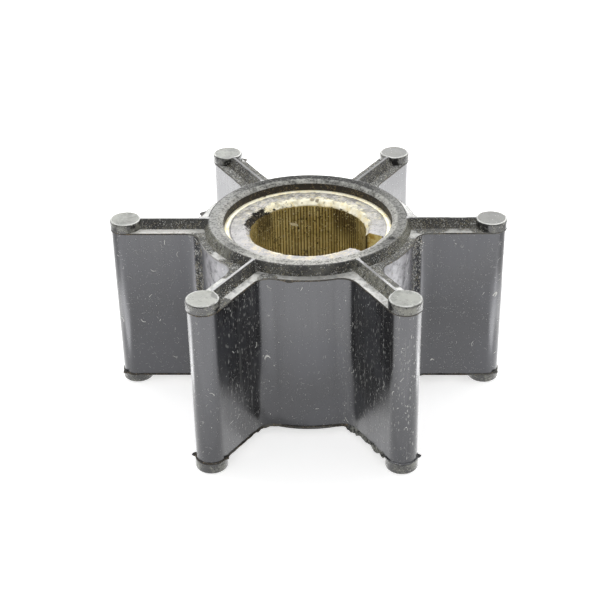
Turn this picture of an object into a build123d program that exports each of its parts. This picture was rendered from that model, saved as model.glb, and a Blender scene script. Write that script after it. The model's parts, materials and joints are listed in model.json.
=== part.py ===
"""Flexible impeller of a small raw-water pump.

A rubber moulding with six straight radial vanes is bonded round a keyed brass bush. Both ends of
the moulding are alike: a sealing rim round the bush, a sealing ridge along each vane and a round
cap on each tip bead stand above a flat ledge.

Frame: +Z is the shaft axis, the origin is on the axis in the plane of the lower rim, and the
first vane points along +X. All lengths are in millimetres.
"""
from build123d import *
import os

# Whole impeller
vane_count = 6
overall_diameter = 50.8     # across the tips of two opposite vanes
overall_height = 24.0       # from rim to rim

# Brass bush
bore_diameter = 15.0
bore_chamfer = 0.45
key_width = 5.0
key_depth = 2.2             # from the wall of the bore to the floor of the keyway
key_wall = 1.05             # brass left between the floor of the keyway and the rubber
key_angle = -30.0           # the keyway lies midway between two vanes
bush_recess = 1.3           # from the rim down to the end of the bush
grip_groove_width = 8.0     # groove round the outside that holds the rubber on the bush
grip_groove_depth = 0.4

# Sealing rim round the bush
rim_height = 1.25           # above the ledge
rim_bevel_width = 0.6       # slope on the inner side, next to the bush
rim_bevel_drop = 0.35
rim_land_width = 1.35       # flat top
rim_flare = 0.7             # slope on the outer side, down to the ledge

# Hub and vanes
hub_ledge_width = 0.6       # flat ledge between the rim and the side of the hub
vane_thickness = 3.8        # also the diameter of the round bead that ends each vane
root_fillet = 2.2           # where a vane runs into the hub
lip_proud = 0.14            # parting-line lip round the edge of each ledge
lip_thickness = 0.2

# Caps on the ends of the tip beads
cap_height = 1.15           # above the ledge
cap_proud = 0.1             # beyond the bead, all round
cap_edge_chamfer = 0.2

# Sealing ridge along each vane
ridge_height = 1.1          # above the ledge
ridge_base_width = 1.7
ridge_crest_width = 0.5

# Worked out from the sizes above
middle = overall_height / 2
ledge = overall_height - rim_height
bore_radius = bore_diameter / 2
key_floor_radius = bore_radius + key_depth
bush_radius = key_floor_radius + key_wall
bush_length = overall_height - 2 * bush_recess
rim_land_radius = bush_radius + rim_bevel_width
rim_top_radius = rim_land_radius + rim_land_width
rim_base_radius = rim_top_radius + rim_flare
hub_radius = rim_base_radius + hub_ledge_width
cap_radius = vane_thickness / 2 + cap_proud
tip_circle_radius = (overall_diameter - vane_thickness) / 2 - max(cap_proud, lip_proud)


def hub_and_vanes(grow=0.0):
    """Plan of the hub with its round-ended vanes, grown outwards all round."""
    with BuildSketch() as plan:
        Circle(hub_radius + grow)
        with PolarLocations(tip_circle_radius / 2, vane_count):
            SlotCenterToCenter(tip_circle_radius, vane_thickness + 2 * grow)
        roots = plan.vertices().filter_by(lambda corner: corner.center().length < hub_radius + root_fillet)
        fillet(roots, root_fillet - grow)
    return plan.sketch


web_plan = hub_and_vanes()
lip_plan = hub_and_vanes(lip_proud)

# Bush without its bore: a turned bar with its grip groove
with BuildPart() as bush_blank:
    with Locations((0, 0, middle)):
        Cylinder(bush_radius, bush_length)
    with BuildSketch(Plane.XZ):
        with Locations((bush_radius, middle)):
            Rectangle(2 * grip_groove_depth, grip_groove_width)
    revolve(axis=Axis.Z, mode=Mode.SUBTRACT)

# Rubber moulding: its upper half first
with BuildPart() as rubber:
    with BuildSketch(Plane.XY.offset(middle)):
        add(web_plan)
    extrude(amount=ledge - middle)

    # parting-line lip
    with BuildSketch(Plane.XY.offset(ledge - lip_thickness)):
        add(lip_plan)
    extrude(amount=lip_thickness)

    # caps
    with BuildSketch(Plane.XY.offset(ledge - lip_thickness)):
        with PolarLocations(tip_circle_radius, vane_count):
            Circle(cap_radius)
    extrude(amount=lip_thickness + cap_height)
    chamfer(rubber.edges().group_by(Axis.Z)[-1], cap_edge_chamfer)

    # sealing rim
    with BuildSketch(Plane.XZ):
        with BuildLine():
            Polyline(
                (bush_radius, ledge - lip_thickness),
                (rim_base_radius, ledge - lip_thickness),
                (rim_base_radius, ledge),
                (rim_top_radius, overall_height),
                (rim_land_radius, overall_height),
                (bush_radius, overall_height - rim_bevel_drop),
                close=True,
            )
        make_face()
    revolve(axis=Axis.Z)

    # sealing ridges: each is a bar from inside the rim to the middle of the cap
    with BuildSketch(Plane.YZ.offset(rim_land_radius)):
        with BuildLine():
            Polyline(
                (-ridge_base_width / 2, ledge - lip_thickness),
                (ridge_base_width / 2, ledge - lip_thickness),
                (ridge_base_width / 2, ledge),
                (ridge_crest_width / 2, ledge + ridge_height),
                (-ridge_crest_width / 2, ledge + ridge_height),
                (-ridge_base_width / 2, ledge),
                close=True,
            )
        make_face()
    ridge = extrude(amount=tip_circle_radius - rim_land_radius, mode=Mode.PRIVATE)
    with PolarLocations(0, vane_count):
        add(ridge)

    # the lower half is alike
    mirror(about=Plane.XY.offset(middle))

    # seat of the bush, open at both ends
    add(bush_blank.part, mode=Mode.SUBTRACT)
    with Locations((0, 0, bush_recess / 2), (0, 0, overall_height - bush_recess / 2)):
        Cylinder(bush_radius, bush_recess, mode=Mode.SUBTRACT)

rubber.part.label = "rubber_moulding"

# Bush with its bore and keyway
with BuildPart() as bush:
    add(bush_blank.part)
    with Locations((0, 0, middle)):
        Cylinder(bore_radius, bush_length, mode=Mode.SUBTRACT)
    bore_mouths = bush.edges().filter_by(GeomType.CIRCLE).group_by(SortBy.RADIUS)[0]
    chamfer(bore_mouths, bore_chamfer)
    with BuildSketch(Plane.XY.offset(bush_recess).rotated((0, 0, key_angle))):
        with Locations((key_floor_radius / 2, 0)):
            Rectangle(key_floor_radius, key_width)
    extrude(amount=bush_length, mode=Mode.SUBTRACT)

bush.part.label = "brass_bush"

os.makedirs("parts", exist_ok=True)
export_step(rubber.part, "parts/rubber_moulding.step")
export_step(bush.part, "parts/brass_bush.step")
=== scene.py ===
import json
from math import asin, atan2, cos, pi, radians, sin, sqrt

import bmesh
import bpy
from mathutils import Matrix, Vector, noise

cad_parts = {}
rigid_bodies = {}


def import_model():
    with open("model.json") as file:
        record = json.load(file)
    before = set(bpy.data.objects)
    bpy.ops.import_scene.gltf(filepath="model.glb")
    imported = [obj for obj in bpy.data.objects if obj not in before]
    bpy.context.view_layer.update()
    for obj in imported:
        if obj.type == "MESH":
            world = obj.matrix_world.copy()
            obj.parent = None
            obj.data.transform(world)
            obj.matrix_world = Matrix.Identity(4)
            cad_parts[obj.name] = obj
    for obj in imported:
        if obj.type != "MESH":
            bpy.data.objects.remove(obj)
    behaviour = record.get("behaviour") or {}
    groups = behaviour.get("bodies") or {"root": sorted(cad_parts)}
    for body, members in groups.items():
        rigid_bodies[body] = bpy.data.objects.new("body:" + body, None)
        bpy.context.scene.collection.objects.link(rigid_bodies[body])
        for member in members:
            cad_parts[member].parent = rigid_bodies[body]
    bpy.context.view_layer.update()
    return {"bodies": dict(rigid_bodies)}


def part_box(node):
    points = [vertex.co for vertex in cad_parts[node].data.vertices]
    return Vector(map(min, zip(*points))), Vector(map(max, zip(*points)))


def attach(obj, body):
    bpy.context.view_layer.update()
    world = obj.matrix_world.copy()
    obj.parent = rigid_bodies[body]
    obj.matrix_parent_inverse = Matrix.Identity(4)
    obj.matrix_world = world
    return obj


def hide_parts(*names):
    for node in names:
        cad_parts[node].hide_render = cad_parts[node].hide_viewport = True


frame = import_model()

# Sizes are in millimetres while a piece is shaped; each mesh is then brought to metres.
# Finishes, lamps and the camera are in metres.
MM = 0.001
MIDDLE = 12.0

# Rubber moulding
TIP_CIRCLE = 23.36
WALL_HALF = 1.9
HUB = 14.0
ROOT_FILLET = 2.2
BUSH_SEAT = 10.75
GRIP_SEAT = 10.35
GRIP_TOP = 16.0
WALL_HEIGHTS = (14.2, 16.4, 18.6, 20.4, 21.6, 22.2, 22.48, 22.54)

# Edges in each stretch of the moulding's outline
BEAD_STEPS = 11
SHOULDER_STEPS = 6
VANE_STEPS = 16
ROOT_STEPS = 10
HUB_STEPS = 9
TIP_END = BEAD_STEPS + SHOULDER_STEPS + 1

# the rounded edges of the caps are coloured as a painted highlight
WALL, LEDGE_FILM, SLOPE, CAP_TOP, RIM_TOP, DULL, FLASH, CAP_EDGE_HIGHLIGHT, CAP_SIDE = range(9)

LIP = (
    # how far it stands out of the wall, height
    (0.03, 22.555), (0.1, 22.565), (0.135, 22.6), (0.14, 22.65), (0.13, 22.71), (0.09, 22.745),
    (0.03, 22.75),
)
CLIMB = (
    # cap radius, height; half the ridge, height; root fillet; rim radius, height
    ((2.036, 22.755), (0.93, 22.75), 0.45, (13.22, 22.75)),
    ((2.034, 22.78), (0.87, 22.765), 0.42, (13.17, 22.765)),
    ((2.033, 22.85), (0.81, 22.83), 0.40, (13.13, 22.83)),
    ((2.03, 23.2), (0.60, 23.22), 0.36, (12.98, 23.22)),
    ((2.03, 23.58), (0.36, 23.65), 0.32, (12.83, 23.62)),
    ((2.025, 23.70), (0.23, 23.88), 0.30, (12.76, 23.80)),
    ((2.0, 23.79), (0.195, 23.935), 0.28, (12.73, 23.90)),
    ((1.955, 23.85), (0.17, 23.965), 0.27, (12.70, 23.96)),
    ((1.9, 23.885), (0.14, 23.978), 0.26, (12.66, 23.988)),
    ((1.84, 23.9), (0.08, 23.982), 0.25, (12.60, 24.0)),
    ((1.76, 23.9), (0.0, 23.982), 0.25, (12.52, 24.0)),
)
LEDGE_ROWS = 2  # rows of the climb that lie on the ledge
SIDE_ROWS = 8  # rows of the climb below the rounded edges
CAP_REACH = 2.037
RIDGE_CREST = 0.25
CAP_RINGS = (
    # radius, height
    (1.66, 23.886), (1.56, 23.893), (1.45, 23.878), (1.34, 23.886), (1.22, 23.872), (1.1, 23.882),
    (0.96, 23.872), (0.82, 23.884), (0.66, 23.874), (0.5, 23.882), (0.3, 23.875), (0.0, 23.88),
)
RIM_RINGS = (
    # radius, height, finish
    (12.4, 24.0, RIM_TOP), (12.2, 24.0, RIM_TOP), (11.9, 24.0, RIM_TOP), (11.5, 24.0, RIM_TOP),
    (11.39, 23.992, RIM_TOP), (11.31, 23.965, RIM_TOP), (11.22, 23.925, RIM_TOP),
    (10.95, 23.77, RIM_TOP), (10.83, 23.695, RIM_TOP), (10.77, 23.64, RIM_TOP),
    (BUSH_SEAT, 23.56, DULL), (BUSH_SEAT, 23.2, DULL), (BUSH_SEAT, 22.7, DULL),
    (BUSH_SEAT, GRIP_TOP, DULL), (GRIP_SEAT, GRIP_TOP, DULL), (GRIP_SEAT, MIDDLE, DULL),
)

# Flash on the lips
NIBS = (
    # x, y, z, how far it stands out, how wide
    (-13.7, -20.2, 1.35, 0.5, 0.36), (-9.8, -20.9, 1.35, 0.35, 0.36),
    (13.7, -20.4, 1.35, 0.45, 0.36), (24.9, -1.3, 1.35, 0.4, 0.4), (-24.9, -1.3, 1.35, 0.4, 0.4),
    (-9.65, 20.3, 22.65, 0.6, 0.5), (-13.6, 3.7, 22.65, 0.6, 0.6),
)
LOWER, UPPER = 2, 22  # what lies below the one or above the other is on that lip
FRONT_VANE_WAY = Vector((0.5, -0.866, 0))
FRONT_VANE_SIDE = Vector((-0.866, -0.5, 0))
FRONT_TIP = Vector((11.68, -20.23))
TAB_X, TAB_HALF = -1.9, 0.75

# Brass bush
BUSH_END = 22.7
BORE = 7.5
MOUTH = 7.95
BUSH_SIDE = 10.745
GRIP_SIDE = 10.345
KEY_FLOOR = 9.7
KEY_HALF = 2.5
KEY_ANGLE = radians(-30)
KEY_FLOOR_STEPS = 3
KEY_SIDE_STEPS = 10
GROOVES = 101

BORE_FACE, END_FACE, KEY_FACE = range(3)

BUSH_RINGS = (
    # radius, height, whether the keyway cuts it, depth of the broach marks
    (BORE, MIDDLE, True, 0.035), (BORE, 17.0, True, 0.035), (BORE, 20.5, True, 0.035),
    (BORE, 21.7, True, 0.03), (BORE - 0.02, 21.93, True, 0.02), (BORE, 22.02, True, 0),
    (7.6, 22.14, True, 0), (7.73, 22.3, True, 0), (7.86, 22.46, True, 0), (7.97, 22.57, True, 0),
    (8.06, 22.62, True, 0), (8.18, 22.62, True, 0), (10.06, 22.60, False, 0),
    (10.16, 22.62, False, 0), (10.34, 22.69, False, 0), (10.44, BUSH_END, False, 0),
    (10.62, BUSH_END, False, 0), (10.72, 22.67, False, 0), (BUSH_SIDE, 22.6, False, 0),
    (BUSH_SIDE, GRIP_TOP, False, 0), (GRIP_SIDE, GRIP_TOP, False, 0), (GRIP_SIDE, MIDDLE, False, 0),
)
BORE_ROWS = 5
KEY_ROWS = 11


# ---------------------------------------------------------------- meshes

def carry_round(bm, chain, centre, angle, steps):
    """Carries the end of a chain of edges round a centre."""
    count = len(bm.verts)
    bmesh.ops.spin(
        bm, geom=[chain[-1]], cent=(*centre, 0), axis=(0, 0, 1), angle=angle, steps=steps)
    bm.verts.ensure_lookup_table()
    chain.extend(bm.verts[count:])


def carry_straight(bm, chain, x, y, steps):
    """Carries the end of a chain of edges straight to a point, in equal steps."""
    step = (Vector((x, y, 0)) - chain[-1].co) / steps
    for _ in range(steps):
        grown = bmesh.ops.extrude_vert_indiv(bm, verts=[chain[-1]])["verts"][0]
        bmesh.ops.translate(bm, verts=[grown], vec=step)
        chain.append(grown)


def edges_along(chain):
    """The edges that join the vertices of a chain, in order."""
    pairs = zip(chain, chain[1:])
    return [next(e for e in a.link_edges if e.other_vert(a) is b) for a, b in pairs]


def skin_between(bm, first, second, finish):
    """Bridges two chains of as many vertices with one strip of faces."""
    made = bmesh.ops.bridge_loops(bm, edges=edges_along(first) + edges_along(second))
    for face in made["faces"]:
        face.material_index = finish
    return made["faces"]


def lift(vertices, start, end):
    """Raises vertices to a height that changes evenly from start to end."""
    last = max(len(vertices) - 1, 1)
    for i, vertex in enumerate(vertices):
        vertex.co.z = start + (end - start) * i / last


def vane_outline(bm, bead, half, root, hub, capped):
    """Half a vane and its share of the hub, seen from above, from the tip to midway between vanes.

    bead, half and hub are (size, height) pairs. A capped outline goes round the
    back of the cap to the vane; another runs straight along the vane's side.
    """
    bead_radius, bead_z = bead
    half_width, half_z = half
    hub_radius, hub_z = hub
    root_x = sqrt((hub_radius + root) ** 2 - (half_width + root) ** 2)
    root_angle = atan2(half_width + root, root_x)

    chain = [bm.verts.new((TIP_CIRCLE + bead_radius, 0, 0))]
    carry_round(bm, chain, (TIP_CIRCLE, 0), pi / 2, BEAD_STEPS)
    if capped:
        to_vane = pi / 2 - asin(half_width / bead_radius)
        carry_round(bm, chain, (TIP_CIRCLE, 0), to_vane, SHOULDER_STEPS)
    else:
        carry_straight(bm, chain, TIP_CIRCLE - bead_radius, half_width, SHOULDER_STEPS)
    carry_straight(bm, chain, root_x, half_width, VANE_STEPS)
    vane_end = len(chain)
    carry_round(bm, chain, (root_x, half_width + root), root_angle - pi / 2, ROOT_STEPS)
    root_end = len(chain)
    carry_round(bm, chain, (0, 0), pi / 6 - root_angle, HUB_STEPS)

    lift(chain[:TIP_END - 1], bead_z, bead_z)
    lift(chain[TIP_END - 1:vane_end], half_z, half_z)
    lift(chain[vane_end:root_end], half_z, hub_z)
    lift(chain[root_end:], hub_z, hub_z)
    return chain


def wall_outline(bm, proud, height):
    """The outline of the side walls, or of the lip that stands proud of them."""
    half = (WALL_HALF + proud, height)
    return vane_outline(bm, half, half, ROOT_FILLET - proud, (HUB + proud, height), False)


def part_ring(bm, radius, centre, height, stretches):
    """Part of a ring round a centre on the X axis, in stretches of (angle, steps)."""
    chain = [bm.verts.new((centre + radius, 0, 0))]
    for angle, steps in stretches:
        carry_round(bm, chain, (centre, 0), angle, steps)
    lift(chain, height, height)
    return chain


def everything(bm):
    return bm.verts[:] + bm.edges[:] + bm.faces[:]


def mirror_both_ways(bm, merge):
    """Adds the other side of a half piece, then its lower half."""
    for axis, middle in ("Y", 0), ("Z", -MIDDLE):
        bmesh.ops.mirror(
            bm, geom=everything(bm), matrix=Matrix.Translation((0, 0, middle)), axis=axis,
            merge_dist=merge)


def link_object(name, data):
    """Makes an object of a mesh, a lamp or a camera and puts it in the scene."""
    made = bpy.data.objects.new(name, data)
    bpy.context.scene.collection.objects.link(made)
    return made


def finish_mesh(bm, name, materials, low, high):
    """Brings a shaped mesh to metres, keeps it inside its node and makes it an object."""
    bmesh.ops.scale(bm, vec=(MM, MM, MM), verts=bm.verts)
    for vertex in bm.verts:
        vertex.co = [min(max(c, a), b) for c, a, b in zip(vertex.co, low, high)]
    mesh = bpy.data.meshes.new(name)
    bm.to_mesh(mesh)
    bm.free()
    mesh.polygons.foreach_set("use_smooth", [True] * len(mesh.polygons))
    mesh.set_sharp_from_angle(angle=radians(38))
    for material in materials:
        mesh.materials.append(material)
    return link_object(name, mesh)


def raise_front(vertex, spot):
    """Lifts the lower lip towards the tips of the two front vanes."""
    if spot.z < 2.6 and spot.y < -9 and spot.xy.length > 15:
        near = min((spot.z - 0.8) / 0.45, 1, (2.6 - spot.z) / 1.1)
        vertex.co.z += 0.28 * max(near, 0) * min((spot.xy.length - 15) / 7, 1)


def roughen_lip(vertex, spot):
    """Makes the edge of a lip uneven and puts its nibs, torn flash and tab on it."""
    out = Vector((vertex.normal.x, vertex.normal.y, 0)).normalized()
    vertex.co += out * (0.05 * noise.noise(spot * 1.7) + 0.05 * noise.noise(spot * 4.3))
    for x, y, z, reach, width in NIBS:
        gap = (spot - Vector((x, y, z))).length
        if gap < width:
            vertex.co += out * reach * (1 - (gap / width) ** 2)

    # a torn stretch under the front right vane
    along, beside = spot.dot(FRONT_VANE_WAY), spot.dot(FRONT_VANE_SIDE)
    if spot.z < LOWER and 14.3 < along < 22.6 and 1.5 < beside < 4:
        coarse, fine = Vector((along * 0.9, 3, 1)), Vector((along * 2.3, 7, 2))
        torn = 0.3 + 0.7 * noise.noise(coarse) + 0.3 * noise.noise(fine)
        vertex.co += Vector((0, 0, -max(torn, 0))) + out * 0.12

    # flash that hangs from the front of the hub
    if spot.z < LOWER and 13.9 < spot.xy.length < 16.5 and spot.y < -11:
        hanging = 0.25 * (1 - abs(abs(spot.x) - 5.2) / 2.6) + 0.15 * noise.noise(spot * 1.3)
        vertex.co.z -= max(hanging, 0)

    # a tab at the top of the hub
    from_tab = abs(spot.x - TAB_X)
    if spot.z > UPPER and from_tab < TAB_HALF and spot.y < -13:
        vertex.co += Vector((0, 0, -0.22 * (1 - from_tab / TAB_HALF))) + out * 0.08


def tear_lips(bm, lip):
    """Gives both lips the uneven edge and the flash that the mould left."""
    for vertex in bm.verts:
        spot = vertex.co.copy()
        raise_front(vertex, spot)
        if vertex[lip]:
            roughen_lip(vertex, spot)
    for face in bm.faces:
        middle = face.calc_center_median()
        if face.material_index != DULL or middle.z >= LOWER:
            continue
        if 14.5 < middle.dot(FRONT_VANE_WAY) < 22.6 and middle.dot(FRONT_VANE_SIDE) > 1.5:
            face.material_index = FLASH
        elif (middle.xy - FRONT_TIP).length < 2.3:
            face.material_index = WALL


def moulded_skin():
    """The whole skin of the moulding, from one twelfth of its upper half."""
    bm = bmesh.new()
    lip = bm.verts.layers.int.new("lip")

    # side walls, up to the parting line
    chain = wall_outline(bm, 0, MIDDLE)
    for height in WALL_HEIGHTS:
        above = wall_outline(bm, 0, height)
        skin_between(bm, chain, above, WALL)
        chain = above

    # lip of the parting line
    for proud, height in LIP:
        above = wall_outline(bm, proud, height)
        for vertex in above:
            vertex[lip] = 1 if proud > 0.05 else 0
        skin_between(bm, chain, above, DULL)
        chain = above

    # ledge, then up the cap, the side of the ridge and the outside of the rim
    for row, level in enumerate(CLIMB):
        above = vane_outline(bm, *level, True)
        finish = LEDGE_FILM if row < LEDGE_ROWS else SLOPE
        for face in skin_between(bm, chain, above, finish):
            middle = face.calc_center_median()
            if (middle.xy - Vector((TIP_CIRCLE, 0))).length < CAP_REACH:
                face.material_index = CAP_SIDE if row < SIDE_ROWS else CAP_EDGE_HIGHLIGHT
            elif middle.y < RIDGE_CREST and row >= SIDE_ROWS:
                face.material_index = LEDGE_FILM
        chain = above

    # top of the cap, closed to a point
    ring = chain[:TIP_END]
    half_turn = (pi / 2, BEAD_STEPS), (pi / 2, SHOULDER_STEPS)
    for radius, height in CAP_RINGS:
        inner = part_ring(bm, radius, TIP_CIRCLE, height, half_turn)
        skin_between(bm, ring, inner, CAP_TOP)
        ring = inner

    # land, inner slope and bush seat
    ring = chain[TIP_END + VANE_STEPS - 1:]
    split = atan2(ring[ROOT_STEPS].co.y, ring[ROOT_STEPS].co.x)
    twelfth = (split, ROOT_STEPS), (pi / 6 - split, HUB_STEPS)
    for radius, height, finish in RIM_RINGS:
        inner = part_ring(bm, radius, 0, height, twelfth)
        skin_between(bm, ring, inner, finish)
        ring = inner

    # the other side of the vane and the lower half, then the other five vanes
    bmesh.ops.remove_doubles(bm, verts=bm.verts, dist=0.001)
    mirror_both_ways(bm, 0.001)
    bmesh.ops.spin(
        bm, geom=everything(bm), cent=(0, 0, 0), axis=(0, 0, 1), angle=radians(300), steps=5,
        use_duplicate=True)
    bmesh.ops.remove_doubles(bm, verts=bm.verts, dist=0.002)
    bmesh.ops.recalc_face_normals(bm, faces=bm.faces)
    bm.normal_update()
    tear_lips(bm, lip)
    return bm


def half_bush_outline(bm, radius, height, keyed, marks):
    """Half a ring of the bush seen from above, cut by the keyway along +X or whole."""
    if keyed:
        mouth = asin(KEY_HALF / radius)
        chain = [bm.verts.new((KEY_FLOOR, 0, 0))]
        carry_straight(bm, chain, KEY_FLOOR, KEY_HALF, KEY_FLOOR_STEPS)
        carry_straight(bm, chain, radius * cos(mouth), KEY_HALF, KEY_SIDE_STEPS)
    else:
        mouth = asin(KEY_HALF / MOUTH)
        corner = atan2(KEY_HALF, KEY_FLOOR)
        chain = [bm.verts.new((radius, 0, 0))]
        carry_round(bm, chain, (0, 0), corner, KEY_FLOOR_STEPS)
        carry_round(bm, chain, (0, 0), mouth - corner, KEY_SIDE_STEPS)
    key_end = len(chain)
    carry_round(bm, chain, (0, 0), pi - mouth, 2 * GROOVES)
    for i, vertex in enumerate(chain[key_end:]):
        if i % 4 in (0, 1):
            vertex.co.xy *= 1 + marks / radius
    lift(chain, height, height)
    return chain


def hang_tongue(bm):
    """Pulls a tongue of the rubber film over one edge of the keyway, which lies along +X."""
    for vertex in bm.verts:
        x, y, z = vertex.co
        if z > 22.5 and abs(y + KEY_HALF) < 0.01 and 7.2 < x < 9.6:
            torn = 0.45 + 0.6 * noise.noise(Vector((x * 2.2, 1, 2)))
            vertex.co.y += max(1.2 - abs(x - 8.4), 0) * torn


def tear_film(bm):
    """Tears the rubber film round the mouth of the bore, more so at the front."""
    for vertex in bm.verts:
        x, y, z = vertex.co
        if z > 21.9 and vertex.co.xy.length < 8.1 and x - y < 4:
            torn = noise.noise(vertex.co * 0.9) + 0.7 * noise.noise(vertex.co * 2.6)
            vertex.co.xy *= 1 - 0.03 * max(torn, 0) * min(1, (4 - x + y) / 4)
        if z > 21.9 and Vector((x, y)).length < 8.1 and y < -4.5:
            uneven = 1 + 0.5 * noise.noise(Vector((x * 1.3, 5, 3)))
            vertex.co.xy *= 1 - 0.032 * min(1, (-4.5 - y) / 2) * uneven


def turned_bush():
    """The bush: a turned bar with its bore, the mouths of the bore and its keyway."""
    bm = bmesh.new()
    chain = None
    for row, ring in enumerate(BUSH_RINGS):
        above = half_bush_outline(bm, *ring)
        if chain:
            finish = BORE_FACE if row < BORE_ROWS else END_FACE
            for face in skin_between(bm, chain, above, finish):
                middle = face.calc_center_median()
                if row < KEY_ROWS and middle.y < KEY_HALF + 0.001 and middle.x > 0:
                    face.material_index = KEY_FACE
        chain = above
    bmesh.ops.remove_doubles(bm, verts=bm.verts, dist=0.0005)
    mirror_both_ways(bm, 0.0005)
    hang_tongue(bm)
    bmesh.ops.rotate(
        bm, verts=bm.verts, cent=(0, 0, 0), matrix=Matrix.Rotation(KEY_ANGLE, 3, "Z"))
    tear_film(bm)
    bmesh.ops.recalc_face_normals(bm, faces=bm.faces)
    return bm


# ---------------------------------------------------------------- shader nodes

def place(tree, kind, feeds=None, **settings):
    """Adds a node with its settings, and feeds its sockets from values or from other sockets."""
    node = tree.nodes.new("ShaderNode" + kind)
    for name, value in settings.items():
        setattr(node, name, value)
    for socket, value in (feeds or {}).items():
        feed(tree, node.inputs[socket], value)
    return node


def feed(tree, socket, value):
    """Feeds a socket from another socket or sets its value. A colour is given as three numbers."""
    if isinstance(value, bpy.types.NodeSocket):
        tree.links.new(value, socket)
    elif socket.type == "RGBA":
        socket.default_value = (*value, 1)
    else:
        socket.default_value = value


def reckon(tree, operation, *values):
    """A sum on one, two or three values."""
    return place(tree, "Math", dict(enumerate(values)), operation=operation).outputs[0]


def plus(tree, first, second):
    return reckon(tree, "ADD", first, second)


def less(tree, first, second):
    return reckon(tree, "SUBTRACT", first, second)


def times(tree, first, second):
    return reckon(tree, "MULTIPLY", first, second)


def scaled(tree, value, factor, shift):
    """The value times the factor, plus the shift."""
    return reckon(tree, "MULTIPLY_ADD", value, factor, shift)


def greater(tree, first, second):
    return reckon(tree, "MAXIMUM", first, second)


def size_of(tree, value):
    """The value without its sign."""
    return reckon(tree, "ABSOLUTE", value)


def reckon_vector(tree, operation, first, second):
    """A sum on two vectors, or for SCALE on a vector and a number."""
    feeds = {0: first, "Scale" if operation == "SCALE" else 1: second}
    return place(tree, "VectorMath", feeds, operation=operation).outputs[0]


def axes_of(tree, vector):
    return place(tree, "SeparateXYZ", {0: vector}).outputs


def rise(tree, value, low, high):
    """0 below low, 1 above high and a smooth step between; low may be the greater."""
    feeds = {"Value": value, "From Min": low, "From Max": high}
    return place(tree, "MapRange", feeds, interpolation_type="SMOOTHSTEP").outputs["Result"]


def tint(tree, share, under, over):
    """The colour under, covered by the colour over as far as share says."""
    return place(tree, "Mix", {0: share, 6: under, 7: over}, data_type="RGBA").outputs[2]


def coat(tree, colour, *layers):
    """A colour under layers of (mask, colour) or (mask, how much it hides at most, colour)."""
    for mask, *hiding, over in layers:
        share = times(tree, mask, hiding[0]) if hiding else mask
        colour = tint(tree, share, colour, over)
    return colour


def cloud(tree, vector, per_metre, detail=2.0, roughness=0.5):
    """Even noise from 0 to 1 with so many swells to the metre."""
    feeds = {"Vector": vector, "Scale": per_metre, "Detail": detail, "Roughness": roughness}
    return place(tree, "TexNoise", feeds).outputs["Fac"]


def shaken(tree, vector, per_metre, finer, share):
    """Moves a vector about by a share of a cell, so that grains come out with no regular shape."""
    feeds = {"Vector": vector, "Scale": times(tree, per_metre, finer)}
    wobble = place(tree, "TexNoise", feeds).outputs["Color"]
    shift = reckon_vector(tree, "SCALE", wobble, reckon(tree, "DIVIDE", share, per_metre))
    return reckon_vector(tree, "ADD", vector, shift)


def elsewhere(tree, here, shift=(0.05, 0.02, 0.03)):
    """Coordinates taken from another place, so that a second layer of dirt lies differently."""
    return reckon_vector(tree, "ADD", here, shift)


def distance_from_axis(tree, here):
    """How far a point lies from the axis of the bore, in metres."""
    flat = reckon_vector(tree, "MULTIPLY", here, (1, 1, 0))
    return place(tree, "VectorMath", {0: flat}, operation="LENGTH").outputs["Value"]


def above_middle(tree, here):
    """How far a point lies above or below the middle of the part, in metres."""
    return size_of(tree, less(tree, axes_of(tree, here)[2], MIDDLE * MM))


def lies_near(tree, here, *spots):
    """1 at the given (x, y, reach) spots in metres, seen from above, fading to 0 at their reach."""
    axes = axes_of(tree, here)
    found = 0.0
    for x, y, reach in spots:
        aside, along = less(tree, axes[0], x), less(tree, axes[1], y)
        gap = reckon(tree, "SQRT", scaled(tree, aside, aside, times(tree, along, along)))
        found = greater(tree, found, rise(tree, gap, reach, reach * 0.45))
    return found


# ---------------------------------------------------------------- effects that finishes share

def new_effect(name, inputs, output):
    """A node group with number inputs and one output: the group, what it is given, its output."""
    group = bpy.data.node_groups.new(name, "ShaderNodeTree")
    sockets = group.interface
    sockets.new_socket(name="Vector", in_out="INPUT", socket_type="NodeSocketVector")
    for title, value in inputs.items():
        made = sockets.new_socket(name=title, in_out="INPUT", socket_type="NodeSocketFloat")
        made.default_value = value
    sockets.new_socket(name=output, in_out="OUTPUT", socket_type="NodeSocketFloat")
    given = group.nodes.new("NodeGroupInput").outputs
    return group, given, group.nodes.new("NodeGroupOutput").inputs[output]


def use_effect(tree, group, vector, **values):
    """Places a node group and returns its output."""
    node = place(tree, "Group", node_tree=group)
    feed(tree, node.inputs["Vector"], vector)
    for title, value in values.items():
        feed(tree, node.inputs[title.replace("_", " ").capitalize()], value)
    return node.outputs[0]


def grain_cells(tree, vector, per_metre):
    """Cells to put grains in, and three chance values that are each cell's own."""
    cells = place(tree, "TexVoronoi", {"Vector": vector, "Scale": per_metre}).outputs
    return cells, place(tree, "SeparateColor", {0: cells["Color"]}).outputs


def make_specks():
    """Loose grains: one to a cell, in the share of cells given, each up to radius cells wide."""
    inputs = {"Per metre": 1000.0, "Share": 0.5, "Radius": 0.15}
    group, given, mask = new_effect("specks", inputs, "Mask")
    moved = shaken(group, given["Vector"], given["Per metre"], 4.0, 0.22)
    cells, chance = grain_cells(group, moved, given["Per metre"])
    kept = reckon(group, "LESS_THAN", chance[0], given["Share"])
    radius = times(group, given["Radius"], scaled(group, chance[1], 0.8, 0.4))
    inside = rise(group, cells["Distance"], radius, times(group, radius, 0.55))
    feed(group, mask, times(group, kept, inside))
    return group


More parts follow.
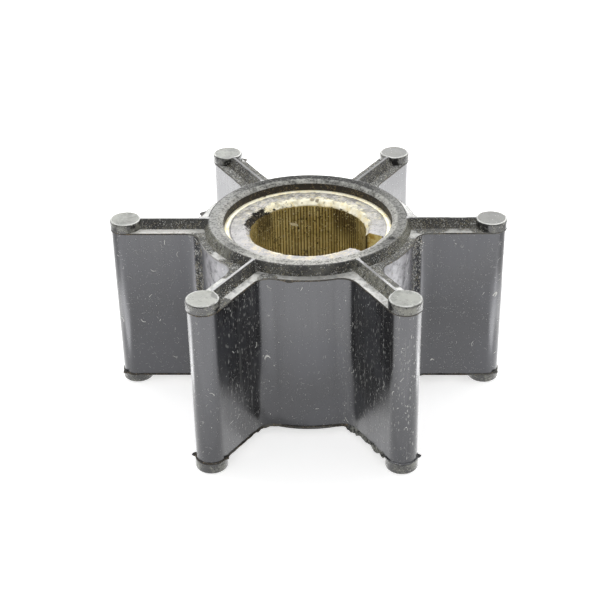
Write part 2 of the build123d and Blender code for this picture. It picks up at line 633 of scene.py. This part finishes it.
def make_lint():
    """Short curved fibres that lie any way round: one to a cell, in the share of cells given."""
    inputs = {"Per metre": 500.0, "Share": 0.3, "Length": 0.0004, "Width": 0.00005}
    group, given, mask = new_effect("lint", inputs, "Mask")
    cells, chance = grain_cells(group, given["Vector"], given["Per metre"])
    local = reckon_vector(group, "SUBTRACT", given["Vector"], cells["Position"])
    turn = reckon_vector(group, "SCALE", cells["Color"], 6.283)
    feeds = {"Vector": local, "Rotation": turn}
    turned = place(group, "VectorRotate", feeds, rotation_type="EULER_XYZ").outputs[0]
    axes = axes_of(group, turned)
    bend = times(group, times(group, axes[0], axes[0]), 0.35)
    bend = reckon(group, "DIVIDE", bend, given["Length"])
    off = size_of(group, less(group, axes[1], bend))
    line = rise(group, off, given["Width"], times(group, given["Width"], 0.4))
    short = reckon(group, "LESS_THAN", size_of(group, axes[0]), given["Length"])
    near = reckon(group, "LESS_THAN", size_of(group, axes[2]), given["Length"])
    kept = reckon(group, "LESS_THAN", chance[2], given["Share"])
    feed(group, mask, times(group, times(group, line, short), times(group, near, kept)))
    return group


def make_draw_marks():
    """Fine streaks along Z, as the mould leaves them when a part is drawn out of it."""
    group, given, value = new_effect("draw_marks", {"Across": 1500.0, "Along": 50.0}, "Value")
    feeds = {0: given["Across"], 1: given["Across"], 2: given["Along"]}
    stretch = place(group, "CombineXYZ", feeds).outputs[0]
    drawn = reckon_vector(group, "MULTIPLY", given["Vector"], stretch)
    feed(group, value, cloud(group, drawn, 1.0, 3.0, 0.6))
    return group


def make_caked_dirt():
    """Packed fine grains that lie in patches. Cover is about the share that they hide."""
    group, given, mask = new_effect("caked_dirt", {"Per metre": 6000.0, "Cover": 0.3}, "Mask")
    patch = cloud(group, given["Vector"], times(group, given["Per metre"], 0.1), 4.0, 0.65)
    thick = rise(group, patch, 0.32, 0.7)
    moved = shaken(group, given["Vector"], given["Per metre"], 1.6, 1.6)
    cells, chance = grain_cells(group, moved, given["Per metre"])
    crowded = times(group, times(group, given["Cover"], 2.0), thick)
    kept = reckon(group, "LESS_THAN", chance[0], crowded)
    size = scaled(group, chance[1], 0.5, 0.22)
    inside = rise(group, cells["Distance"], size, times(group, size, 0.6))
    feed(group, mask, times(group, kept, inside))
    return group


def make_settled_dirt():
    """Where dirt has settled: over two corners of the hub, the back and right vanes and a root."""
    group, given, mask = new_effect("settled_dirt", {}, "Mask")
    found = lies_near(
        group, given["Vector"],
        (-0.0136, -0.0048, 0.0042), (-0.0098, -0.0112, 0.0032), (0.0125, -0.0075, 0.0060),
        (0.0100, -0.0128, 0.0040), (-0.0095, -0.0193, 0.0016), (-0.0085, 0.0152, 0.0062),
        (0.0090, 0.0156, 0.0075), (0.0155, 0.0, 0.0034), (0.0234, 0.0, 0.0042),
        (0.0118, 0.0204, 0.0032), (-0.0045, -0.0135, 0.0016))
    uneven = scaled(group, cloud(group, given["Vector"], 900.0, 4.0, 0.65), 1.2, -0.6)
    ragged = plus(group, found, times(group, uneven, 0.8))
    feed(group, mask, rise(group, ragged, 0.25, 0.6))
    return group


def make_vane_roots():
    """The strips of the hub beside each vane, seen from above, where dirt sticks."""
    group, given, mask = new_effect("vane_roots", {}, "Mask")
    axes = axes_of(group, given["Vector"])
    sixths = reckon(group, "DIVIDE", reckon(group, "ARCTAN2", axes[1], axes[0]), pi / 3)
    turned = reckon(group, "FRACT", plus(group, sixths, 10.5))
    beside = rise(group, size_of(group, less(group, turned, 0.5)), 0.34, 0.28)
    near = rise(group, distance_from_axis(group, given["Vector"]), 0.0148, 0.0144)
    behind = rise(group, axes[1], -0.0100, -0.0080)
    feed(group, mask, times(group, times(group, beside, near), behind))
    return group


specks, lint = make_specks(), make_lint()
draw_marks, caked_dirt = make_draw_marks(), make_caked_dirt()
settled_dirt, vane_roots = make_settled_dirt(), make_vane_roots()


# ---------------------------------------------------------------- finishes

BLACK = (0.006, 0.006, 0.0065)
BLOOM = (0.015, 0.016, 0.019)
# the grey of the painted reflection on the front sides of the hub
REFLECTION_GREY = (0.50, 0.49, 0.515)
DUST = (0.78, 0.78, 0.74)
TAN = (0.40, 0.36, 0.25)
GRIT = (0.50, 0.49, 0.42)
PITS = (0.02, 0.02, 0.018)
PALE_FILM = (0.62, 0.62, 0.58)


def new_finish(name, roughness, ior=1.5, metallic=0.0):
    """A material with its shader and its own coordinates."""
    material = bpy.data.materials.new(name)
    material.use_nodes = True
    tree = material.node_tree
    shader = tree.nodes["Principled BSDF"].inputs
    shader["Roughness"].default_value = roughness
    shader["IOR"].default_value = ior
    shader["Metallic"].default_value = metallic
    here = place(tree, "TexCoord").outputs["Object"]
    return material, tree, shader, here


def grain_bump(tree, shader, height, depth):
    """Raises the surface by up to depth metres where height is 1."""
    bump = place(tree, "Bump", {"Height": height, "Distance": depth, "Strength": 1.0})
    feed(tree, shader["Normal"], bump.outputs["Normal"])


def wall_finish():
    """Smooth black rubber with bloom, draw marks, loose grains, lint, root dirt and a painted
    reflection.
    """
    material, tree, shader, here = new_finish("rubber_wall", 0.24, 1.55)
    shader["Specular Tint"].default_value = (0.95, 0.955, 1.0, 1)
    streak = use_effect(tree, draw_marks, here)
    bloom = rise(tree, cloud(tree, here, 130.0, 3.0), 0.4, 0.66)

    # loose grains and lint, with scuffs on the front vanes
    grains = use_effect(tree, specks, here, per_metre=1500.0, share=0.36, radius=0.13)
    dust = use_effect(tree, specks, here, per_metre=3800.0, share=0.7, radius=0.22)
    drawn = reckon_vector(tree, "MULTIPLY", here, (1, 1, 0.3))
    dashes = use_effect(tree, specks, drawn, per_metre=3600.0, share=0.9, radius=0.3)
    scratches = use_effect(tree, draw_marks, here, across=3000.0, along=200.0)
    fibres = use_effect(
        tree, lint, here, per_metre=520.0, share=0.25, length=0.00035, width=0.00005)
    fine = use_effect(
        tree, lint, here, per_metre=1300.0, share=0.4, length=0.0002, width=0.00005)
    scuffed = lies_near(
        tree, here,
        (0.0078, -0.0170, 0.0062), (-0.0078, -0.0170, 0.0050), (0.0125, -0.0205, 0.0035))
    scratched = times(tree, rise(tree, scratches, 0.56, 0.72), 0.09)
    dashed = times(tree, greater(tree, dashes, dust), 0.42)
    scuffs = times(tree, scuffed, greater(tree, dashed, scratched))
    faint = times(tree, greater(tree, dust, fine), 0.22)
    loose = greater(tree, greater(tree, grains, fibres), faint)
    loose = greater(tree, loose, scuffs)

    # dirt in the roots of the vanes
    roots = use_effect(tree, vane_roots, here)
    caked = use_effect(
        tree, caked_dirt, here, per_metre=4800.0, cover=times(tree, roots, 0.8))
    chaff = use_effect(
        tree, caked_dirt, elsewhere(tree, here), per_metre=4200.0, cover=times(tree, roots, 0.7))

    # painted reflection: pale patches on both front sides of the hub, towards its ends
    reflection_patch = lies_near(tree, here, (-0.0115, -0.0085, 0.0045), (0.0118, -0.0080, 0.0040))
    reflection_patch = times(tree, reflection_patch, rise(tree, cloud(tree, here, 900.0, 5.0, 0.7), 0.25, 0.6))
    reflection_patch = times(tree, reflection_patch, rise(tree, above_middle(tree, here), 0.0010, 0.0065))

    feed(tree, shader["Base Color"], coat(
        tree, BLACK, (bloom, BLOOM), (reflection_patch, 0.85, REFLECTION_GREY), (caked, 0.8, TAN),
        (chaff, 0.8, DUST), (loose, DUST)))
    dusty = greater(tree, loose, times(tree, roots, 1.6))
    worn = plus(tree, times(tree, streak, 0.24), times(tree, bloom, 0.08))
    rough = plus(tree, plus(tree, 0.12, worn), times(tree, dusty, 0.5))
    feed(tree, shader["Roughness"], rough)
    height = plus(tree, times(tree, streak, 0.4), greater(tree, loose, caked))
    grain_bump(tree, shader, height, 0.00002)
    return material


def ledge_finish():
    """The ledge and the crests of the ridges: a pale film of dust, lost under dirt in places."""
    material, tree, shader, here = new_finish("rubber_ledge", 0.34, 1.9)
    film = rise(tree, cloud(tree, here, 700.0, 5.0, 0.7), 0.34, 0.56)
    settled = use_effect(tree, settled_dirt, here)
    dirt = use_effect(
        tree, caked_dirt, here, per_metre=5500.0, cover=scaled(tree, settled, 0.5, 0.25))
    chaff = use_effect(
        tree, caked_dirt, elsewhere(tree, here), per_metre=6000.0,
        cover=times(tree, settled, 0.5))
    grains = use_effect(tree, specks, here, per_metre=2600.0, share=0.6, radius=0.2)
    crest = rise(tree, above_middle(tree, here), 0.0114, 0.0117)
    front = lies_near(tree, here, (0.0, -0.0145, 0.0065))
    left = lies_near(tree, here, (-0.0185, -0.0015, 0.0058))
    feed(tree, shader["Base Color"], coat(
        tree, (0.18, 0.18, 0.165),
        (film, (0.60, 0.60, 0.57)),
        (front, 0.5, (0.12, 0.12, 0.115)),
        (left, 0.95, (1.0, 0.98, 0.93)),
        (settled, 0.95, (0.035, 0.036, 0.030)),
        (dirt, 0.6, TAN),
        (chaff, 0.75, DUST),
        (crest, 0.7, (0.36, 0.36, 0.37)),
        (grains, (0.8, 0.8, 0.76))))
    rough = scaled(tree, settled, 0.6, scaled(tree, crest, 0.14, 0.34))
    feed(tree, shader["Roughness"], rough)
    grain_bump(tree, shader, plus(tree, film, dirt), 0.00003)
    return material


def slope_finish():
    """Dull sides of the ridges and the rim, with dirt that thickens towards their foot."""
    material, tree, shader, here = new_finish("rubber_slope", 0.5, 1.5)
    shader["Specular IOR Level"].default_value = 0.3
    foot = rise(tree, above_middle(tree, here), 0.01185, 0.01090)
    settled = use_effect(tree, settled_dirt, here)
    thick = scaled(tree, settled, 0.3, scaled(tree, foot, 0.45, 0.2))
    dirt = use_effect(tree, caked_dirt, here, per_metre=8500.0, cover=thick)
    chaff = use_effect(
        tree, caked_dirt, elsewhere(tree, here), per_metre=7500.0, cover=times(tree, thick, 0.5))
    film = rise(tree, cloud(tree, here, 400.0, 5.0, 0.7), 0.42, 0.68)
    greyed = lies_near(
        tree, here, (-0.0120, -0.0060, 0.0052), (0.0082, -0.0142, 0.0045),
        (0.0102, -0.0185, 0.0038), (0.0130, -0.0040, 0.0042))
    greyed = times(tree, greyed, rise(tree, cloud(tree, here, 1600.0, 4.0, 0.7), 0.32, 0.6))
    feed(tree, shader["Base Color"], coat(
        tree, (0.013, 0.013, 0.012),
        (film, (0.085, 0.085, 0.075)),
        (greyed, 0.8, (0.24, 0.24, 0.20)),
        (dirt, 0.7, TAN),
        (chaff, 0.85, DUST)))
    grain_bump(tree, shader, plus(tree, dirt, chaff), 0.00004)
    return material


def cap_finish():
    """Tops of the caps: rubbed rubber under a greenish grey film."""
    material, tree, shader, here = new_finish("rubber_cap_top", 0.42, 1.5)
    film = rise(tree, cloud(tree, here, 420.0, 5.0, 0.7), 0.33, 0.62)
    paler_patch = lies_near(tree, here, (-0.0117, -0.0202, 0.0050))
    settled = use_effect(tree, settled_dirt, here)
    grit = use_effect(tree, caked_dirt, here, per_metre=7000.0, cover=0.2)
    grains = use_effect(tree, specks, here, per_metre=2600.0, share=0.6, radius=0.2)
    feed(tree, shader["Base Color"], coat(
        tree, (0.12, 0.124, 0.107),
        (film, (0.31, 0.32, 0.28)),
        (paler_patch, 0.5, (0.48, 0.49, 0.44)),
        (settled, 0.8, (0.11, 0.11, 0.10)),
        (grit, 0.6, (0.05, 0.05, 0.04)),
        (grains, (0.5, 0.5, 0.45))))
    grain_bump(tree, shader, film, 0.00002)
    return material


def cap_edge_highlight_finish():
    """Rounded edges of the caps, with a mottled painted highlight."""
    material, tree, shader, here = new_finish("rubber_cap_edge_highlight", 0.25, 1.6)
    # painted highlight: a mottled pale colour on the rounded edges
    paler_patch = rise(tree, cloud(tree, here, 600.0, 4.0, 0.7), 0.34, 0.6)
    colour = tint(tree, paler_patch, (0.24, 0.245, 0.22), (0.72, 0.73, 0.69))
    feed(tree, shader["Base Color"], colour)
    return material


def cap_side_finish():
    """Sides of the caps: black rubber with a broken grey film and grit."""
    material, tree, shader, here = new_finish("rubber_cap_side", 0.3, 1.5)
    film = rise(tree, cloud(tree, here, 800.0, 4.0, 0.7), 0.44, 0.68)
    grit = use_effect(tree, caked_dirt, here, per_metre=5500.0, cover=0.22)
    feed(tree, shader["Base Color"], coat(
        tree, (0.012, 0.012, 0.011), (film, (0.20, 0.20, 0.17)), (grit, 0.6, GRIT)))
    feed(tree, shader["Roughness"], scaled(tree, film, 0.25, 0.2))
    grain_bump(tree, shader, plus(tree, film, grit), 0.00004)
    return material


def rim_finish():
    """Top of the rim: pale next to the bush, then a dark rubbed band and a pale worn edge."""
    material, tree, shader, here = new_finish("rubber_rim_top", 0.55, 1.3)
    shader["Specular IOR Level"].default_value = 0.2
    axis, axes = distance_from_axis(tree, here), axes_of(tree, here)
    ragged = scaled(tree, cloud(tree, here, 1500.0, 5.0, 0.75), 0.0008, -0.0004)
    pale = rise(tree, plus(tree, axis, ragged), 0.01160, 0.01135)
    edge = rise(tree, axis, 0.01246, 0.01258)
    to_front, to_left = rise(tree, axes[1], 0.0, -0.011), rise(tree, axes[0], -0.0060, -0.0110)
    to_right = times(tree, rise(tree, axes[0], 0.0075, 0.0115), 0.95)
    front = greater(tree, greater(tree, to_front, to_left), to_right)
    paler_patch = rise(tree, axes[0], -0.0085, -0.0118)
    grit = use_effect(
        tree, caked_dirt, here, per_metre=5000.0, cover=scaled(tree, front, 0.1, 0.2))
    pits = use_effect(tree, caked_dirt, elsewhere(tree, here), per_metre=4500.0, cover=0.4)
    film = rise(tree, cloud(tree, here, 700.0, 6.0, 0.75), 0.36, 0.64)
    smeared = times(
        tree, rise(tree, axes[1], -0.0075, -0.0110), scaled(tree, film, 0.5, 0.45))
    nick = lies_near(tree, here, (0.0105, -0.0057, 0.0007))
    speckle = cloud(tree, here, 3200.0, 2.0, 0.6)
    pale_band = coat(
        tree, (0.14, 0.14, 0.13), (film, PALE_FILM), (front, 0.6, (0.72, 0.71, 0.67)))
    feed(tree, shader["Base Color"], coat(
        tree, (0.009, 0.009, 0.008),
        (film, (0.046, 0.046, 0.042)),
        (front, 0.70, (0.43, 0.43, 0.41)),
        (paler_patch, 0.55, (0.70, 0.70, 0.68)),
        (pale, pale_band),
        (smeared, (0.85, 0.84, 0.78)),
        (nick, 0.95, (0.01, 0.01, 0.01)),
        (edge, 0.6, (0.42, 0.42, 0.41)),
        (grit, 0.55, GRIT),
        (pits, 0.7, PITS),
        (rise(tree, speckle, 0.5, 0.34), 0.55, PITS),
        (rise(tree, speckle, 0.54, 0.68), 0.34, PALE_FILM)))
    grain_bump(tree, shader, plus(tree, film, grit), 0.00006)
    return material


def dull_finish():
    """Black matt rubber of the lip and the bush seat, with a little brown grit and a painted
    reflection.
    """
    material, tree, shader, here = new_finish("rubber_dull", 0.6, 1.4)
    settled = use_effect(tree, settled_dirt, here)
    # painted reflection: the lip at the front left of the hub turns pale grey
    reflection_patch = lies_near(tree, here, (-0.0118, -0.0082, 0.0052))
    grit = use_effect(tree, caked_dirt, here, per_metre=6500.0, cover=0.45)
    feed(tree, shader["Base Color"], coat(
        tree, (0.013, 0.010, 0.006),
        (settled, 0.8, (0.09, 0.09, 0.08)),
        (reflection_patch, 0.85, (0.42, 0.41, 0.41)),
        (grit, 0.6, (0.26, 0.19, 0.10))))
    return material


def flash_finish():
    """Thin torn flash and the dirt that hangs on it."""
    material, tree, shader, here = new_finish("rubber_flash", 0.6, 1.4)
    mottle = rise(tree, cloud(tree, here, 1800.0, 4.0, 0.7), 0.4, 0.62)
    colour = tint(tree, mottle, (0.02, 0.02, 0.019), (0.40, 0.40, 0.36))
    feed(tree, shader["Base Color"], colour)
    grain_bump(tree, shader, mottle, 0.00008)
    return material


def bore_finish():
    """Broached brass in the bore: olive with age, dark in its grooves, bright on their crests."""
    material, tree, shader, here = new_finish("brass_bore", 0.36, 1.5, 0.3)
    streak = use_effect(tree, draw_marks, here, across=2600.0, along=140.0)
    axes = axes_of(tree, here)
    age = rise(tree, cloud(tree, here, 260.0, 4.0, 0.6), 0.36, 0.64)
    crest = rise(tree, distance_from_axis(tree, here), 0.00753, 0.007505)
    worn = times(tree, crest, scaled(tree, rise(tree, streak, 0.3, 0.62), 0.6, 0.4))
    groove = tint(tree, age, (0.13, 0.094, 0.030), (0.24, 0.18, 0.060))
    ridge = tint(tree, age, (0.68, 0.54, 0.20), (0.95, 0.82, 0.40))

    # stains, grains and scale
    patch = lies_near(tree, here, (0.0050, 0.0056, 0.0030), (-0.0058, 0.0046, 0.0020))
    patch = times(tree, patch, rise(tree, axes[2], 0.0165, 0.0205))
    stain = greater(tree, rise(tree, cloud(tree, here, 420.0, 3.0, 0.6), 0.62, 0.70), patch)
    grains = use_effect(tree, specks, here, per_metre=1900.0, share=0.8, radius=0.2)
    blots = use_effect(tree, specks, here, per_metre=1300.0, share=0.7, radius=0.2)
    side = rise(tree, axes[0], -0.0032, -0.0050)
    flecks = use_effect(
        tree, caked_dirt, here, per_metre=4600.0, cover=scaled(tree, side, 0.25, 0.2))
    scale = use_effect(
        tree, caked_dirt, elsewhere(tree, here, (0.04, 0.01, 0.02)), per_metre=4600.0,
        cover=scaled(tree, side, 0.25, 0.25))

    # a ragged chip high in the back of the bore
    level = scaled(tree, axes[0], 0.3, axes[2])
    chip = times(tree, rise(tree, level, 0.0182, 0.0186), rise(tree, level, 0.0192, 0.0187))
    chip = times(tree, chip, lies_near(tree, here, (-0.0021, 0.0072, 0.0009)))
    chip = scaled(tree, cloud(tree, here, 1500.0, 3.0, 0.7), 1.6, less(tree, chip, 1.15))

    feed(tree, shader["Base Color"], coat(
        tree, groove,
        (worn, ridge),
        (rise(tree, axes[0], -0.0030, -0.0070), 0.5, (0.78, 0.64, 0.28)),
        (stain, 0.75, (0.05, 0.033, 0.014)),
        (flecks, 0.7, (0.90, 0.78, 0.42)),
        (scale, 0.7, (0.03, 0.02, 0.008)),
        (rise(tree, chip, 0.20, 0.40), (1.0, 0.95, 0.76)),
        (blots, (0.03, 0.022, 0.01)),
        (grains, (0.85, 0.80, 0.6))))
    feed(tree, shader["Roughness"], scaled(tree, streak, 0.25, 0.25))
    return material


def key_finish():
    """Bare brass in the keyway, painted as brightly lit brass, with painted shade in its corners
    and a painted shadow under its upper edge.
    """
    material, tree, shader, here = new_finish("brass_key", 0.38, 1.5, 0.2)
    mottle = cloud(tree, here, 800.0, 4.0, 0.7)
    # painted light: the keyway walls get the colour of brightly lit brass
    bright = tint(tree, rise(tree, mottle, 0.36, 0.56), (0.52, 0.34, 0.06), (1.0, 0.88, 0.44))
    # painted shade in the deep corners of the keyway, and a painted shadow spot under its upper
    # edge
    corner = rise(tree, distance_from_axis(tree, here), 0.00965, 0.00985)
    corner = greater(tree, corner, lies_near(tree, here, (0.0072, -0.0011, 0.0009)))
    feed(tree, shader["Base Color"], tint(tree, corner, bright, (0.04, 0.03, 0.012)))
    grain_bump(tree, shader, mottle, 0.00006)
    return material


def end_finish():
    """End of the bush: a pale mottled film of rubber over brass, which shows bare at its edges."""
    material, tree, shader, here = new_finish("brass_end", 0.4, 1.5)
    shader["Specular IOR Level"].default_value = 0.3
    axis, axes = distance_from_axis(tree, here), axes_of(tree, here)
    uneven = cloud(tree, here, 1100.0, 6.0, 0.8)
    mottle = cloud(tree, here, 850.0, 6.0, 0.78)
    ragged = scaled(tree, uneven, 0.0056, -0.0028)
    ragged_axis = plus(tree, axis, ragged)
    back = rise(tree, axes[1], -0.0015, 0.0045)
    leftward = scaled(tree, axes[0], -0.966, times(tree, axes[1], 0.259))
    left = rise(tree, leftward, 0.0066, 0.0075)

    # bare brass: a ring outside, and a ragged one round the bore that is wider at the back
    outer = rise(tree, scaled(tree, ragged, 0.08, axis), 0.01006, 0.01014)
    reach = less(tree, scaled(tree, back, 0.00065, 0.0077), times(tree, left, 0.0012))
    inner = rise(tree, less(tree, ragged_axis, reach), 0.00012, 0.0)
    bare = greater(tree, outer, inner)
    marks = use_effect(tree, specks, here, per_metre=850.0, share=0.55, radius=0.3)
    brass = coat(
        tree, (0.94, 0.82, 0.48),
        (rise(tree, mottle, 0.34, 0.56), (1.0, 0.96, 0.78)),
        (marks, 0.85, (0.20, 0.16, 0.09)))

    # rubber film, with dashes and grit on it and a crack along its outer edge
    round_marks = reckon_vector(tree, "MULTIPLY", here, (700, 2600, 700))
    dashes = times(tree, rise(tree, cloud(tree, round_marks, 1.0, 3.0, 0.6), 0.60, 0.65), back)
    grit = use_effect(tree, caked_dirt, here, per_metre=4600.0, cover=0.22)
    spotted = greater(tree, times(tree, grit, 0.6), times(tree, dashes, 0.7))
    crack = size_of(tree, less(tree, scaled(tree, uneven, 0.0003, axis), 0.01008))
    crack = rise(tree, crack, 0.00010, 0.00004)
    crack = times(tree, crack, rise(tree, plus(tree, axes[0], axes[1]), -0.004, -0.008))
    nearer = times(
        tree, rise(tree, axes[1], -0.0025, -0.0060), rise(tree, ragged_axis, 0.0090, 0.0084))
    film_front = tint(
        tree, rise(tree, mottle, 0.3, 0.7), (0.46, 0.45, 0.455), (0.74, 0.72, 0.71))
    film_back = tint(
        tree, rise(tree, mottle, 0.38, 0.62), (0.30, 0.29, 0.275), (0.86, 0.83, 0.77))
    film = coat(
        tree, film_front,
        (back, film_back),
        (times(tree, rise(tree, uneven, 0.48, 0.66), back), (0.88, 0.82, 0.58)),
        (spotted, (0.08, 0.07, 0.05)),
        (crack, 0.8, (0.05, 0.04, 0.03)),
        (times(tree, nearer, rise(tree, mottle, 0.42, 0.60)), (0.90, 0.79, 0.55)))

    # tar round the left of the bore
    trail = scaled(tree, axes[0], -0.75, times(tree, axes[1], 0.66))
    trail = rise(tree, trail, 0.0056, 0.0068)
    tar_reach = scaled(tree, left, 0.0007, scaled(tree, trail, 0.0005, 0.0070))
    tar = scaled(tree, uneven, 0.0036, less(tree, axis, 0.0018))
    tar = rise(tree, less(tree, tar, tar_reach), 0.00012, -0.00004)
    ash = use_effect(tree, specks, here, per_metre=3400.0, share=0.5, radius=0.3)
    soot = coat(
        tree, (0.010, 0.008, 0.006),
        (rise(tree, mottle, 0.5, 0.6), (0.09, 0.07, 0.04)),
        (ash, (0.55, 0.50, 0.42)))

    feed(tree, shader["Base Color"], coat(tree, film, (bare, brass), (tar, soot)))
    metal = greater(tree, times(tree, inner, 0.15), times(tree, outer, 0.4))
    feed(tree, shader["Metallic"], times(tree, metal, less(tree, 1.0, tar)))
    feed(tree, shader["Roughness"], greater(tree, scaled(tree, bare, 0.12, 0.42), tar))
    grain_bump(tree, shader, plus(tree, mottle, less(tree, 1.0, bare)), 0.00008)
    return material


# ---------------------------------------------------------------- pieces

# in the order of the faces' material numbers
rubber_finishes = (
    wall_finish(), ledge_finish(), slope_finish(), cap_finish(), rim_finish(), dull_finish(),
    flash_finish(), cap_edge_highlight_finish(), cap_side_finish())
brass_finishes = bore_finish(), end_finish(), key_finish()

low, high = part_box("rubber_moulding")
moulding = finish_mesh(moulded_skin(), "rubber_moulding_skin", rubber_finishes, low, high)
low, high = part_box("brass_bush")
bush = finish_mesh(turned_bush(), "brass_bush_turned", brass_finishes, low, high)

body = next(iter(frame["bodies"]))
for piece, node, finish in ((moulding, "rubber_moulding", "rubber"), (bush, "brass_bush", "brass")):
    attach(piece, body)
    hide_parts(node)


# ---------------------------------------------------------------- stage, light and camera

SOFT_BOXES = (
    # name, place, size, glow
    ("back_soft_box", (0.0, 0.8, 0.46), 0.8, 2.8),
    ("left_soft_box", (-0.75, 0.3, 0.3), 0.5, 2.0),
    ("right_soft_box", (0.75, 0.3, 0.3), 0.5, 2.0),
)
LOW_PANEL_HEIGHT, PANEL_HEIGHT = 0.0001, 0.0002
LOW_PANELS = (
    # name, near left corner, far right corner, glow
    ("whole_panel", (-0.5, -0.5), (0.5, -0.0165), 1.2),
    ("left_apron", (-0.052, -0.0165), (-0.0135, 0.5), 1.15),
    ("left_pocket", (-0.0135, -0.0165), (0.0, 0.0), 0.35),
    ("right_pocket", (0.0, -0.0165), (0.0135, 0.0), 1.0),
    ("right_apron", (0.0135, -0.0165), (0.052, 0.5), 1.4),
)
PANELS = (
    ("front_panel", (-0.3, -0.5), (0.3, -0.037), 1.6),
    ("near_panel", (-0.3, -0.037), (0.3, -0.027), 0.5),
    ("back_panel", (-0.3, 0.024), (0.3, 0.5), 1.75),
    ("left_panel", (-0.050, -0.018), (-0.030, -0.006), 5.0),
    ("left_side_panel", (-0.050, -0.006), (-0.040, 0.004), 2.8),
    ("right_panel", (0.030, -0.018), (0.050, -0.006), 5.0),
    ("right_side_panel", (0.040, -0.006), (0.050, 0.004), 2.8),
)


def shown_or_mirrored(tree):
    """1 where a surface is seen by the camera or in a gloss, 0 for the light it gives."""
    path = place(tree, "LightPath").outputs
    return greater(tree, path["Is Camera Ray"], path["Is Glossy Ray"])


def studio_floor():
    """A wide white floor that shows white and keeps a faint shadow."""
    bm = bmesh.new()
    bmesh.ops.create_grid(bm, x_segments=1, y_segments=1, size=3.0)
    mesh = bpy.data.meshes.new("studio_floor")
    bm.to_mesh(mesh)
    bm.free()
    floor = link_object("studio_floor", mesh)
    material = bpy.data.materials.new("floor_white")
    material.use_nodes = True
    tree = material.node_tree
    paint = tree.nodes["Principled BSDF"]
    feed(tree, paint.inputs["Base Color"], (0.9, 0.9, 0.9))
    feed(tree, paint.inputs["Roughness"], 0.9)
    glow = place(tree, "Emission", {"Strength": times(tree, shown_or_mirrored(tree), 0.62)})
    mixed = place(tree, "AddShader", {0: paint.outputs["BSDF"], 1: glow.outputs["Emission"]})
    feed(tree, tree.nodes["Material Output"].inputs["Surface"], mixed.outputs["Shader"])
    mesh.materials.append(material)


def studio_world():
    """A white sky, brighter where it is seen or mirrored than in the light it gives."""
    world = bpy.data.worlds.new("studio")
    bpy.context.scene.world = world
    world.use_nodes = True
    tree = world.node_tree
    sky = tree.nodes["Background"].inputs
    feed(tree, sky["Color"], (1, 1, 1))
    feeds = {"Value": shown_or_mirrored(tree), "To Min": 0.55, "To Max": 1.0}
    feed(tree, sky["Strength"], place(tree, "MapRange", feeds).outputs["Result"])


def soft_lamp(name, spot, size, glow):
    """A square soft box that faces the middle of the part. A glow of 1 is as bright as white."""
    lamp = bpy.data.lights.new(name, "AREA")
    lamp.shape = "SQUARE"
    lamp.size = size
    lamp.energy = glow * pi * size ** 2
    holder = link_object(name, lamp)
    holder.location = spot
    away = Vector(spot) - Vector((0, 0, MIDDLE * MM))
    holder.rotation_euler = away.to_track_quat("Z", "Y").to_euler()
    return holder


def table_panel(name, low, high, glow, height):
    """A lit panel that lies on the floor beside the part and shows only in its gloss."""
    lamp = bpy.data.lights.new(name, "AREA")
    lamp.shape = "RECTANGLE"
    lamp.size, lamp.size_y = high[0] - low[0], high[1] - low[1]
    lamp.energy = glow * pi * lamp.size * lamp.size_y
    panel = link_object(name, lamp)
    panel.location = ((low[0] + high[0]) / 2, (low[1] + high[1]) / 2, height)
    panel.rotation_euler = (pi, 0, 0)
    panel.visible_camera = panel.visible_diffuse = False


def place_camera():
    """The camera stands in front of the part, above it, a little turned and rolled."""
    azimuth, elevation, roll = radians(1.6897), radians(30.3522), radians(-1.1325)
    distance, aside, above = 181.176 * MM, -1.1770 * MM, -0.1588 * MM
    focal_pixels, frame_pixels, sensor = 1373.89, 600, 36
    forward = Vector((0, cos(elevation), -sin(elevation)))
    right = Vector((1, 0, 0))
    up = right.cross(forward)
    eye = -forward * distance
    sight = right * aside + up * above - eye
    pose = sight.to_track_quat("-Z", "Y").to_matrix() @ Matrix.Rotation(roll, 3, "Z")
    middle = Matrix.Translation((0, 0, MIDDLE * MM))
    turn = Matrix.Rotation(azimuth, 4, "Z")
    lens = bpy.data.cameras.new("camera")
    lens.sensor_width = sensor
    lens.lens = focal_pixels * sensor / frame_pixels
    lens.clip_start = 0.01
    camera = link_object("camera", lens)
    camera.matrix_world = middle @ turn @ Matrix.Translation(eye) @ pose.to_4x4()
    bpy.context.scene.camera = camera


studio_floor()
studio_world()
for soft_box in SOFT_BOXES:
    soft_lamp(*soft_box)
for panel in LOW_PANELS:
    table_panel(*panel, LOW_PANEL_HEIGHT)
for panel in PANELS:
    table_panel(*panel, PANEL_HEIGHT)
overhead = soft_lamp("overhead_gloss", (0.0, -0.10, 0.5), 0.6, 3.5)
overhead.visible_camera = overhead.visible_diffuse = False
place_camera()
bpy.context.scene.view_settings.view_transform = "Standard"
